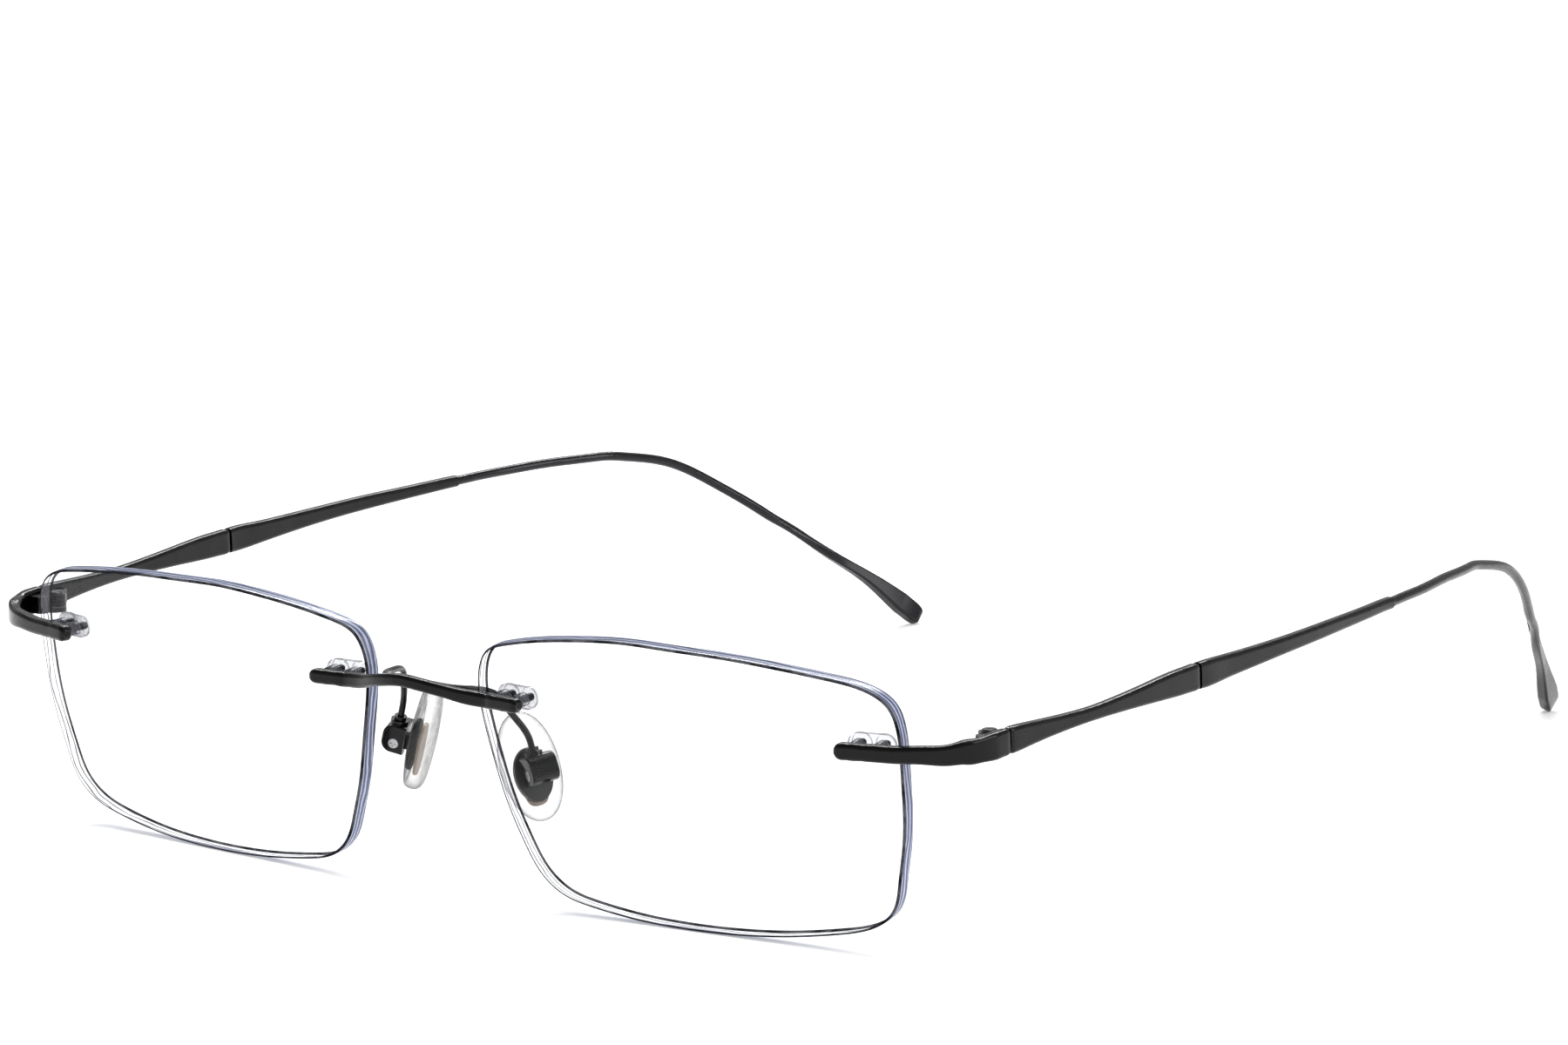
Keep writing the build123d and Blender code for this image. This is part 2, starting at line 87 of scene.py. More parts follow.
class Net:
    """Small helper for writing node trees."""

    def __init__(self, nt):
        self.nt = nt

    def n(self, kind, **props):
        node = self.nt.nodes.new(kind)
        for key, value in props.items():
            setattr(node, key, value)
        return node

    def link(self, a, b):
        self.nt.links.new(a, b)

    def put(self, socket, value):
        if hasattr(value, "is_linked") or hasattr(value, "links"):
            self.link(value, socket)
        else:
            socket.default_value = value

    def math(self, op, a, b=0.0, c=None, clamp=False):
        node = self.n("ShaderNodeMath", operation=op, use_clamp=clamp)
        self.put(node.inputs[0], a)
        self.put(node.inputs[1], b)
        if c is not None:
            self.put(node.inputs[2], c)
        return node.outputs[0]

    def ramp(self, value, lo, hi, out_lo=0.0, out_hi=1.0, smooth=True):
        node = self.n("ShaderNodeMapRange", interpolation_type="SMOOTHSTEP" if smooth else "LINEAR")
        self.put(node.inputs["Value"], value)
        node.inputs["From Min"].default_value = lo
        node.inputs["From Max"].default_value = hi
        node.inputs["To Min"].default_value = out_lo
        node.inputs["To Max"].default_value = out_hi
        return node.outputs[0]

    def mix_colour(self, fac, a, b):
        node = self.n("ShaderNodeMix", data_type="RGBA")
        self.put(node.inputs["Factor"], fac)
        self.put(node.inputs[6], a)
        self.put(node.inputs[7], b)
        return node.outputs[2]

    def mix_shader(self, fac, a, b):
        node = self.n("ShaderNodeMixShader")
        self.put(node.inputs[0], fac)
        self.link(a, node.inputs[1])
        self.link(b, node.inputs[2])
        return node.outputs[0]

    def noise(self, vector, scale, detail=4.0, rough=0.55, distortion=0.0):
        node = self.n("ShaderNodeTexNoise")
        self.link(vector, node.inputs["Vector"])
        node.inputs["Scale"].default_value = scale
        node.inputs["Detail"].default_value = detail
        node.inputs["Roughness"].default_value = rough
        node.inputs["Distortion"].default_value = distortion
        return node.outputs["Fac"]

    def position(self, stretch=(1.0, 1.0, 1.0)):
        """Object position in millimetres, stretched per axis."""
        tc = self.n("ShaderNodeTexCoord")
        mp = self.n("ShaderNodeMapping")
        self.link(tc.outputs["Object"], mp.inputs["Vector"])
        mp.inputs["Scale"].default_value = tuple(1000.0 * s for s in stretch)
        return mp.outputs[0]

    def output(self, shader):
        out = self.n("ShaderNodeOutputMaterial")
        self.link(shader, out.inputs["Surface"])


def rgba(c):
    return (c[0], c[1], c[2], 1.0)


# --------------------------------------------------------------- materials
def satin_metal(name, base, worn_and_highlight, rough=0.36, grain=(1.0, 1.0, 1.0), wear_and_highlight=0.5, bevel=0.10, speck=0.12, metallic=1.0, coat=0.6):
    """Satin coated metal: fine directional grain, slight mottling, lighter rubbed edges that are also a painted edge
    highlight.
    """
    m, nt = new_material(name)
    k = Net(nt)
    pos = k.position()
    gpos = k.position(grain)
    mottle = k.noise(pos, 0.35, 3.0, 0.5)
    fine = k.noise(gpos, 14.0, 5.0, 0.6)
    speckle = k.noise(pos, 42.0, 2.0, 0.5)
    colour = k.mix_colour(k.ramp(mottle, 0.3, 0.7), rgba([c * (1 - speck) for c in base]), rgba([c * (1 + speck) for c in base]))
    colour = k.mix_colour(k.ramp(speckle, 0.62, 0.74, 0.0, 0.35), colour, rgba([c * 1.9 for c in base]))
    # rubbed edges and painted edge highlight: where a rounded normal departs from the face normal
    bev = k.n("ShaderNodeBevel", samples=4)
    bev.inputs["Radius"].default_value = bevel * MM
    geo = k.n("ShaderNodeNewGeometry")
    dot = k.n("ShaderNodeVectorMath", operation="DOT_PRODUCT")
    k.link(bev.outputs[0], dot.inputs[0])
    k.link(geo.outputs["Normal"], dot.inputs[1])
    edge = k.ramp(dot.outputs["Value"], 0.995, 0.93)
    patch = k.ramp(k.noise(pos, 0.9, 4.0, 0.6), 0.42, 0.66)
    wear_highlight_mask = k.math("MULTIPLY", k.math("MULTIPLY", edge, patch), wear_and_highlight)
    colour = k.mix_colour(wear_highlight_mask, colour, rgba(worn_and_highlight))
    bsdf = k.n("ShaderNodeBsdfPrincipled")
    k.link(colour, bsdf.inputs["Base Color"])
    bsdf.inputs["Metallic"].default_value = metallic
    bsdf.inputs["Coat Weight"].default_value = coat
    bsdf.inputs["Coat Roughness"].default_value = 0.11
    r = k.math("ADD", k.ramp(fine, 0.2, 0.8, rough - 0.07, rough + 0.09), k.ramp(mottle, 0.3, 0.7, -0.03, 0.04))
    k.link(r, bsdf.inputs["Roughness"])
    bump = k.n("ShaderNodeBump")
    bump.inputs["Strength"].default_value = 0.22
    bump.inputs["Distance"].default_value = 0.010 * MM
    k.link(fine, bump.inputs["Height"])
    bump2 = k.n("ShaderNodeBump")
    bump2.inputs["Strength"].default_value = 0.15
    bump2.inputs["Distance"].default_value = 0.03 * MM
    k.link(mottle, bump2.inputs["Height"])
    k.link(bump.outputs[0], bump2.inputs["Normal"])
    k.link(bump2.outputs[0], bsdf.inputs["Normal"])
    k.output(bsdf.outputs[0])
    return m


def clear_plastic(name, tint, rim_shade_colour, rim_shade_power=2.2, body=0.06, gloss=0.7, cloud=0.04, rough=0.08):
    """Clear moulded plastic or silicone: see-through face on, with painted shade mixed in where it turns away, standing
    in for the dark rim that refraction gives.
    """
    m, nt = new_material(name)
    k = Net(nt)
    pos = k.position()
    lw = k.n("ShaderNodeLayerWeight")
    lw.inputs["Blend"].default_value = 0.5
    # painted rim shade by facing angle, plus a faint cloudy body tint
    facing = k.math("POWER", lw.outputs["Facing"], rim_shade_power)
    wob = k.noise(pos, 0.8, 3.0, 0.5, 0.4)
    facing = k.math("MULTIPLY", facing, k.ramp(wob, 0.25, 0.75, 0.80, 1.15), clamp=True)
    fac = k.math("ADD", facing, k.ramp(wob, 0.3, 0.75, body, body + cloud), clamp=True)
    clear = k.n("ShaderNodeBsdfTransparent")
    clear.inputs["Color"].default_value = rgba(tint)
    dark = k.n("ShaderNodeBsdfPrincipled")
    dark.inputs["Base Color"].default_value = rgba(rim_shade_colour)
    dark.inputs["Roughness"].default_value = 0.5
    dark.inputs["Specular IOR Level"].default_value = 0.15
    dark.inputs["Subsurface Weight"].default_value = 0.0
    base = k.mix_shader(fac, clear.outputs[0], dark.outputs[0])
    gl = k.n("ShaderNodeBsdfGlossy")
    gl.inputs["Roughness"].default_value = rough
    bump = k.n("ShaderNodeBump")
    bump.inputs["Strength"].default_value = 0.25
    bump.inputs["Distance"].default_value = 0.03 * MM
    k.link(k.noise(pos, 2.2, 4.0, 0.55), bump.inputs["Height"])
    k.link(bump.outputs[0], gl.inputs["Normal"])
    fr = k.n("ShaderNodeFresnel")
    fr.inputs["IOR"].default_value = 1.45
    k.link(bump.outputs[0], fr.inputs["Normal"])
    geo = k.n("ShaderNodeNewGeometry")
    outer = k.math("SUBTRACT", 1.0, geo.outputs["Backfacing"])
    k.output(k.mix_shader(k.math("MULTIPLY", k.math("MULTIPLY", fr.outputs[0], gloss), outer), base, gl.outputs[0]))
    return m


def lens_face():
    """Polished, coated lens surface: clear, a faint cool reflection, faint wipe marks."""
    m, nt = new_material("lens_surface")
    k = Net(nt)
    pos = k.position((1.0, 1.0, 0.6))
    clear = k.n("ShaderNodeBsdfTransparent")
    smear = k.noise(pos, 0.08, 5.0, 0.6, 1.2)
    tint = k.mix_colour(k.ramp(smear, 0.35, 0.7), (0.997, 0.998, 1.0, 1), (0.988, 0.990, 0.996, 1))
    k.link(tint, clear.inputs["Color"])
    gl = k.n("ShaderNodeBsdfGlossy")
    gl.inputs["Color"].default_value = (0.97, 0.98, 1.0, 1)
    k.link(k.ramp(smear, 0.3, 0.75, 0.015, 0.06), gl.inputs["Roughness"])
    fr = k.n("ShaderNodeFresnel")
    fr.inputs["IOR"].default_value = 1.40
    geo = k.n("ShaderNodeNewGeometry")
    outer = k.math("SUBTRACT", 1.0, geo.outputs["Backfacing"])
    k.output(k.mix_shader(k.math("MULTIPLY", k.math("MULTIPLY", fr.outputs[0], 0.28), outer), clear.outputs[0], gl.outputs[0]))
    return m


def lens_edge(name, side):
    """Cut and polished lens edge: cool lavender, partly the lens's own blue-filter tint and partly a painted coating
    reflection, with streaks that run along the edge.
    """
    m, nt = new_material(name)
    k = Net(nt)
    tc = k.n("ShaderNodeTexCoord")
    sub = k.n("ShaderNodeVectorMath", operation="SUBTRACT")
    k.link(tc.outputs["Object"], sub.inputs[0])
    c = SPHERE_C * MM
    sub.inputs[1].default_value = (c[0] * side, c[1], c[2])
    length = k.n("ShaderNodeVectorMath", operation="LENGTH")
    k.link(sub.outputs[0], length.inputs[0])
    depth = k.math("MULTIPLY", k.math("SUBTRACT", LENS_R * MM, length.outputs["Value"]), 1000.0)
    xyz = k.n("ShaderNodeSeparateXYZ")
    k.link(tc.outputs["Object"], xyz.inputs[0])
    along = k.math("MULTIPLY", xyz.outputs[0], 60.0)
    along2 = k.math("MULTIPLY", xyz.outputs[2], 70.0)
    comb = k.n("ShaderNodeCombineXYZ")
    k.link(along, comb.inputs[0])
    k.link(along2, comb.inputs[1])
    k.link(k.math("MULTIPLY", depth, 2.6), comb.inputs[2])
    streak = k.noise(comb.outputs[0], 1.3, 5.0, 0.62, 0.5)
    comb2 = k.n("ShaderNodeCombineXYZ")
    k.link(k.math("MULTIPLY", xyz.outputs[0], 260.0), comb2.inputs[0])
    k.link(k.math("MULTIPLY", xyz.outputs[2], 260.0), comb2.inputs[1])
    k.link(k.math("MULTIPLY", depth, 0.5), comb2.inputs[2])
    blotch = k.noise(comb2.outputs[0], 0.35, 3.0, 0.5)
    lavender = k.mix_colour(k.ramp(blotch, 0.3, 0.7), (0.085, 0.11, 0.23, 1), (0.21, 0.25, 0.42, 1))
    # thin painted reflection lines, dark and bright, that run along the edge and drift slowly across it
    drift = k.math("MULTIPLY", k.noise(comb2.outputs[0], 0.55, 2.0, 0.5), 2.4)
    phase = k.math("ADD", k.math("MULTIPLY", depth, 1.75), k.math("ADD", drift, k.math("MULTIPLY", streak, 0.35)))
    reflection_wave = k.math("SINE", k.math("MULTIPLY", phase, 6.2832))
    colour = k.mix_colour(k.ramp(reflection_wave, 0.05, 0.75, 0.0, 0.95), lavender, (0.012, 0.015, 0.040, 1))
    colour = k.mix_colour(k.ramp(reflection_wave, -0.60, -0.95, 0.0, 0.75), colour, (0.62, 0.66, 0.82, 1))
    colour = k.mix_colour(k.ramp(streak, 0.60, 0.70, 0.0, 0.6), colour, (0.03, 0.035, 0.07, 1))
    bsdf = k.n("ShaderNodeBsdfPrincipled")
    k.link(colour, bsdf.inputs["Base Color"])
    bsdf.inputs["Roughness"].default_value = 0.22
    bsdf.inputs["Specular IOR Level"].default_value = 0.3
    bump = k.n("ShaderNodeBump")
    bump.inputs["Strength"].default_value = 0.3
    bump.inputs["Distance"].default_value = 0.02 * MM
    k.link(streak, bump.inputs["Height"])
    k.link(bump.outputs[0], bsdf.inputs["Normal"])
    clear = k.n("ShaderNodeBsdfTransparent")
    clear.inputs["Color"].default_value = (0.86, 0.88, 0.95, 1)
    outside = k.mix_shader(0.94, clear.outputs[0], bsdf.outputs[0])
    # seen from inside the glass: painted pale grey with a few thin grey lines, standing in for what the glass refracts
    pale = k.n("ShaderNodeBsdfDiffuse")
    inner = k.mix_colour(k.ramp(reflection_wave, 0.55, 0.95, 0.0, 0.9), (0.60, 0.61, 0.66, 1), (0.02, 0.02, 0.03, 1))
    k.link(inner, pale.inputs["Color"])
    clear2 = k.n("ShaderNodeBsdfTransparent")
    clear2.inputs["Color"].default_value = (0.95, 0.955, 0.97, 1)
    inside = k.mix_shader(k.ramp(reflection_wave, 0.55, 0.98, 0.12, 0.92), clear2.outputs[0], pale.outputs[0])
    geo = k.n("ShaderNodeNewGeometry")
    k.output(k.mix_shader(geo.outputs["Backfacing"], outside, inside))
    return m


def lens_line(name, colour, alpha):
    """The narrow bevel between lens face and edge, coloured near-black: painted shade for the thin dark line it shows.
    """
    m, nt = new_material(name)
    k = Net(nt)
    pos = k.position((0.35, 0.35, 0.35))
    bsdf = k.n("ShaderNodeBsdfPrincipled")
    v = k.noise(pos, 0.9, 4.0, 0.6)
    k.link(k.mix_colour(k.ramp(v, 0.38, 0.62), rgba(colour), rgba([c * 3.2 for c in colour])), bsdf.inputs["Base Color"])
    bsdf.inputs["Roughness"].default_value = 0.5
    bsdf.inputs["Specular IOR Level"].default_value = 0.05
    clear = k.n("ShaderNodeBsdfTransparent")
    clear.inputs["Color"].default_value = (0.93, 0.94, 0.98, 1)
    k.output(k.mix_shader(k.ramp(v, 0.35, 0.65, alpha, alpha * 0.92), clear.outputs[0], bsdf.outputs[0]))
    return m


# each metal's second colour lightens its edges: partly rubbed wear, partly a painted highlight; the frame's warm one is
# a painted warm reflection
M_FRAME = satin_metal("satin_black_frame", (0.008, 0.0075, 0.0072), (0.20, 0.18, 0.165), 0.26, (0.12, 1, 1), 0.50, 0.14, coat=0.28)
M_TEMPLE = satin_metal("satin_grey_temple", (0.013, 0.013, 0.0135), (0.16, 0.16, 0.16), 0.30, (1, 0.06, 1), 0.40, 0.12, coat=0.25)
M_WIRE = satin_metal("satin_wire", (0.016, 0.016, 0.018), (0.16, 0.16, 0.17), 0.28, (1, 0.10, 0.5), 0.40, 0.10, coat=0.3)
M_HINGE = satin_metal("satin_hinge", (0.012, 0.012, 0.012), (0.30, 0.30, 0.30), 0.28, (1, 1, 0.2), 0.70, 0.10, coat=0.3)
M_SCREW_DARK = satin_metal("turned_screw_dark", (0.07, 0.07, 0.07), (0.50, 0.50, 0.50), 0.28, (1, 1, 0.3), 0.80, 0.06)
M_SCREW = satin_metal("turned_screw_silver", (0.36, 0.36, 0.37), (0.80, 0.80, 0.80), 0.22, (1, 1, 1), 0.80, 0.06)
M_ARM = satin_metal("satin_arm", (0.009, 0.009, 0.009), (0.20, 0.20, 0.20), 0.24, (1, 1, 0.12), 0.35, 0.08, coat=0.3)
M_BOX = satin_metal("satin_pad_box", (0.009, 0.009, 0.0095), (0.34, 0.34, 0.34), 0.20, (1, 1, 0.6), 0.65, 0.12, coat=0.3)
M_PLATE = satin_metal("moulded_pad_plate", (0.014, 0.0135, 0.0135), (0.12, 0.11, 0.10), 0.40, (1, 1, 0.5), 0.45, 0.10, metallic=0.2, coat=0.2)
M_CORE = satin_metal("tan_pad_core", (0.33, 0.27, 0.22), (0.55, 0.49, 0.43), 0.42, (1, 1, 0.3), 0.50, 0.08, metallic=0.2, coat=0.2)
# the third colour of each clear plastic is its painted rim shade
M_BUSH = clear_plastic("clear_bushing", (0.93, 0.935, 0.945), (0.035, 0.035, 0.042), 1.9, 0.05, 0.5, 0.07, 0.06)
M_PAD = clear_plastic("clear_silicone_pad", (0.93, 0.928, 0.925), (0.035, 0.034, 0.033), 1.9, 0.03, 0.5, 0.06, 0.10)
M_LENS = lens_face()
M_EDGE = {"left": lens_edge("lens_edge_left", 1), "right": lens_edge("lens_edge_right", -1)}
# lens bevel: near-black painted shade
M_BEVEL_SHADE = lens_line("lens_bevel_painted_shade", (0.004, 0.004, 0.007), 1.0)

NODE_MATERIAL = {
    "bridge": M_FRAME, "endpiece": M_FRAME, "front_hinge": M_HINGE, "temple_hinge": M_HINGE,
    "hinge_screw": M_SCREW_DARK, "temple_front": M_TEMPLE, "temple_rear": M_TEMPLE, "temple_wire": M_WIRE,
    "inner_bushing": M_BUSH, "outer_bushing": M_BUSH, "pad_insert": M_PLATE, "pad_box": M_BOX,
    "pad_screw": M_SCREW, "guard_arm": M_ARM, "nose_pad": M_PAD, "lens": M_LENS,
}


def base_name(node):
    for side in ("left_", "right_"):
        if node.startswith(side):
            return node[len(side):]
    return node


for node_name, obj in NODES.items():
    mat = NODE_MATERIAL[base_name(node_name)]
    if not obj.material_slots:
        obj.data.materials.append(mat)
    for slot in obj.material_slots:
        slot.link = "OBJECT"
        slot.material = mat


# ------------------------------------------------------------- mesh helpers
def make_object(name, verts, faces, materials, indices=None, smooth_angle=40.0):
    me = bpy.data.meshes.new(name)
    me.from_pydata([tuple(float(c) * MM for c in v) for v in verts], [], faces)
    me.update()
    ob = bpy.data.objects.new(name, me)
    bpy.context.scene.collection.objects.link(ob)
    for mt in materials:
        me.materials.append(mt)
    if indices is not None:
        me.polygons.foreach_set("material_index", indices)
    bm = bmesh.new()
    bm.from_mesh(me)
    bmesh.ops.recalc_face_normals(bm, faces=bm.faces)
    bm.to_mesh(me)
    bm.free()
    me.polygons.foreach_set("use_smooth", [True] * len(me.polygons))
    me.set_sharp_from_angle(angle=math.radians(smooth_angle))
    return ob


def periodic_spline(points, count):
    """Closed cubic through the points, chord-length parameter, sampled evenly by arc length."""
    p = np.array(points, float)
    m = len(p)
    nxt = np.roll(p, -1, axis=0)
    h = np.linalg.norm(nxt - p, axis=1)
    a = np.zeros((m, m))
    b = np.zeros((m, 2))
    for i in range(m):
        hp, hi = h[i - 1], h[i]
        a[i, i - 1] += hp
        a[i, i] += 2 * (hp + hi)
        a[i, (i + 1) % m] += hi
        b[i] = 6 * ((nxt[i] - p[i]) / hi - (p[i] - p[i - 1]) / hp)
    mm = np.linalg.solve(a, b)
    out = []
    for i in range(m):
        j = (i + 1) % m
        for t in np.linspace(0, h[i], 60, endpoint=False):
            u = h[i] - t
            out.append(mm[i] * u ** 3 / (6 * h[i]) + mm[j] * t ** 3 / (6 * h[i])
                       + (p[i] / h[i] - mm[i] * h[i] / 6) * u + (p[j] / h[i] - mm[j] * h[i] / 6) * t)
    q = np.array(out)
    step = np.linalg.norm(np.roll(q, -1, axis=0) - q, axis=1)
    s = np.concatenate([[0], np.cumsum(step)])
    q = np.vstack([q, q[:1]])
    t = np.linspace(0, s[-1], count, endpoint=False)
    return np.stack([np.interp(t, s, q[:, 0]), np.interp(t, s, q[:, 1])], axis=1)


def rings_to_faces(counts, close_first, close_last):
    """Quads between equal rings; optional fans to a single first or last vertex."""
    faces = []
    start = 0
    offsets = []
    for c in counts:
        offsets.append((start, c))
        start += c
    for (a, na), (b, nb) in zip(offsets[:-1], offsets[1:]):
        if na == 1:
            faces += [(a, b + i, b + (i + 1) % nb) for i in range(nb)]
        elif nb == 1:
            faces += [(b, a + (i + 1) % na, a + i) for i in range(na)]
        else:
            faces += [(a + i, b + i, b + (i + 1) % nb, a + (i + 1) % na) for i in range(na)]
    return faces


# ------------------------------------------------------------------ lenses
def mount_frame(xz):
    x, z = xz
    dy = math.sqrt(LENS_R ** 2 - (x - SPHERE_C[0]) ** 2 - (z - SPHERE_C[2]) ** 2)
    p = np.array((x, SPHERE_C[1] - dy, z))
    n = norm(p - SPHERE_C)
    t = norm(np.cross((0, 0, 1), n))
    return p, n, t


def build_lens(side):
    sx = 1 if side == "left" else -1
    count = 420
    o = periodic_spline(LENS_OUTLINE, count)
    tan = np.roll(o, -1, axis=0) - np.roll(o, 1, axis=0)
    nrm = np.stack([tan[:, 1], -tan[:, 0]], axis=1)
    nrm /= np.linalg.norm(nrm, axis=1)[:, None]
    if np.mean(np.sum(nrm * o, axis=1)) < 0:
        nrm = -nrm
    front = lambda uv: -LENS_R + np.sqrt(LENS_R ** 2 - np.sum(uv ** 2, axis=1))
    back = lambda uv: -LENS_R + np.sqrt((LENS_R - LENS_T) ** 2 - np.sum(uv ** 2, axis=1))
    bev = 0.28

    def place(uv, s):
        return LENS_O + uv[:, :1] * LU + uv[:, 1:] * LV + s[:, None] * LW

    rings, kinds = [], []
    inset = o - nrm * bev
    ks = [0.12, 0.28, 0.44, 0.60, 0.74, 0.86, 0.94, 0.98]
    rings.append(place(np.zeros((1, 2)), front(np.zeros((1, 2)))))
    for f in ks:
        rings.append(place(inset * f, front(inset * f)))
        kinds.append(0)
    rings.append(place(inset, front(inset)))
    kinds.append(0)
    fs, bs = front(o), back(o)
    rings.append(place(o - nrm * 0.04, fs - 0.05)); kinds.append(2)
    rings.append(place(o, fs - 0.15)); kinds.append(2)
    for w in (0.33, 0.66):
        rings.append(place(o, (fs - 0.15) * (1 - w) + (bs + 0.15) * w)); kinds.append(1)
    rings.append(place(o, bs + 0.15)); kinds.append(1)
    rings.append(place(o - nrm * 0.04, bs + 0.05)); kinds.append(2)
    rings.append(place(inset, back(inset))); kinds.append(2)
    for f in ks[::-1]:
        rings.append(place(inset * f, back(inset * f)))
        kinds.append(0)
    rings.append(place(np.zeros((1, 2)), back(np.zeros((1, 2)))))
    kinds.append(0)
    verts = np.vstack(rings)
    verts[:, 2] = np.maximum(verts[:, 2], 0.0)
    verts[:, 0] *= sx
    faces = rings_to_faces([len(r) for r in rings], True, True)
    idx = []
    for kind, (a, b) in zip(kinds, zip(rings[:-1], rings[1:])):
        idx += [kind] * max(len(a), len(b))
    ob = make_object(side + "_lens_glass", verts, faces, [M_LENS, M_EDGE[side], M_BEVEL_SHADE], idx, 28.0)
    # drilled holes for the sleeves
    bm = bmesh.new()
    for xz in MOUNTS:
        p, n, t = mount_frame(xz)
        for s in (-1, 1):
            c = p + t * (s * STUD_PITCH / 2) - n * 0.8
            z = Vector((n[0] * sx, n[1], n[2]))
            rot = z.to_track_quat("Z", "Y").to_matrix().to_4x4()
            mat = Matrix.Translation(Vector((c[0] * sx, c[1], c[2])) * MM) @ rot
            bmesh.ops.create_cone(bm, cap_ends=True, segments=48, radius1=HOLE_R * MM, radius2=HOLE_R * MM, depth=5.2 * MM, matrix=mat)
    cm = bpy.data.meshes.new(side + "_cutter")
    bm.to_mesh(cm)
    bm.free()
    for mt in (M_LENS, M_EDGE[side], M_BEVEL_SHADE):
        cm.materials.append(mt)
    cm.polygons.foreach_set("material_index", [1] * len(cm.polygons))
    cutter = bpy.data.objects.new(side + "_cutter", cm)
    bpy.context.scene.collection.objects.link(cutter)
    mod = ob.modifiers.new("holes", "BOOLEAN")
    mod.operation = "DIFFERENCE"
    mod.object = cutter
    mod.solver = "EXACT"
    dg = bpy.context.evaluated_depsgraph_get()
    new = bpy.data.meshes.new_from_object(ob.evaluated_get(dg), depsgraph=dg)
    ob.modifiers.clear()
    old = ob.data
    ob.data = new
    new.name = side + "_lens_glass"
    bpy.data.meshes.remove(old)
    bpy.data.objects.remove(cutter)
    bpy.data.meshes.remove(cm)
    new.polygons.foreach_set("use_smooth", [True] * len(new.polygons))
    new.set_sharp_from_angle(angle=math.radians(28.0))
    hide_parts(side + "_lens")
    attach(ob, "front")
    return ob


# --------------------------------------------------------------- nose pads
pn = norm(PAD_OUT)
pa = norm(PAD_UP - PAD_UP.dot(pn) * pn)
pd = np.cross(pa, pn)


def pad_point(side, q, s, p):
    c = PAD_CENTRE + np.array((0, 0, PAD_SHIFT[side])) + pd * q + pa * s + pn * p
    return np.array((c[0] * (1 if side == "left" else -1), c[1], c[2]))


def oval(a, b, n, power=2.0):
    th = np.linspace(0, 2 * math.pi, n, endpoint=False)
    c, s = np.cos(th), np.sin(th)
    e = 2.0 / power
    return np.stack([a * np.sign(c) * np.abs(c) ** e, b * np.sign(s) * np.abs(s) ** e], axis=1)


def build_pad(side):
    """Soft pad: crowned towards the nose, a lipped rim and a moulded pocket for the plate."""
    n = 128
    A, B = PAD_WIDE / 2, PAD_TALL / 2
    pa_, pb_ = PLATE_WIDE / 2 + 0.05, PLATE_TALL / 2 + 0.05
    rings = []

    def ring(a, b, p, dq=0.0, ds=0.0, power=2.06, dish=0.0):
        o = oval(a, b, n, power)
        # dish can bend the pad slightly along its length, as a saddle does; every ring here leaves it at 0
        return np.array([pad_point(side, q + dq, s + ds, p + dish * ((s / B) ** 2)) for q, s in o])

    rings.append(np.array([pad_point(side, PLATE_Q, PLATE_S, 0.585)]))
    for f in (0.35, 0.7, 0.93):
        rings.append(ring(pa_ * f, pb_ * f, 0.585, PLATE_Q, PLATE_S, 2.0))
    rings.append(ring(pa_ - 0.03, pb_ - 0.03, 0.60, PLATE_Q, PLATE_S, 2.0))
    rings.append(ring(pa_, pb_, 0.64, PLATE_Q, PLATE_S, 2.0))
    rings.append(ring(pa_, pb_, 0.92, PLATE_Q, PLATE_S, 2.0))
    rings.append(ring(pa_ + 0.06, pb_ + 0.06, 1.00, PLATE_Q, PLATE_S, 2.0))
    # moulded lip round the pocket, then a shallow channel and the outer rim
    rings.append(ring(pa_ + 0.16, pb_ + 0.16, 1.03, PLATE_Q, PLATE_S, 2.0))
    rings.append(ring(pa_ + 0.30, pb_ + 0.32, 1.00, PLATE_Q * 0.9, PLATE_S * 0.95, 2.0))
    rings.append(ring(A - 0.80, B - 1.30, 0.90, PLATE_Q * 0.3, PLATE_S * 0.35))
    rings.append(ring(A - 0.62, B - 0.72, 0.92))
    rings.append(ring(A - 0.42, B - 0.44, 0.95))
    rings.append(ring(A - 0.24, B - 0.25, 0.86))
    rings.append(ring(A - 0.10, B - 0.10, 0.66))
    rings.append(ring(A - 0.02, B - 0.02, 0.36))
    rings.append(ring(A, B, 0.05))
    rings.append(ring(A - 0.03, B - 0.03, -0.28))
    rings.append(ring(A - 0.16, B - 0.17, -0.60))
    rings.append(ring(A - 0.40, B - 0.44, -0.86))
    rings.append(ring(A - 0.74, B - 0.84, -1.03))
    for f, p in ((0.64, -1.14), (0.48, -1.23), (0.30, -1.30), (0.14, -1.33)):
        rings.append(ring(A * f, B * f, p))
    rings.append(np.array([pad_point(side, 0, 0, -1.345)]))
    ob = make_object(side + "_silicone_pad", np.vstack(rings), rings_to_faces([len(r) for r in rings], True, True), [M_PAD], None, 50.0)
    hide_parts(side + "_nose_pad")
    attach(ob, side + "_pad")
    return ob


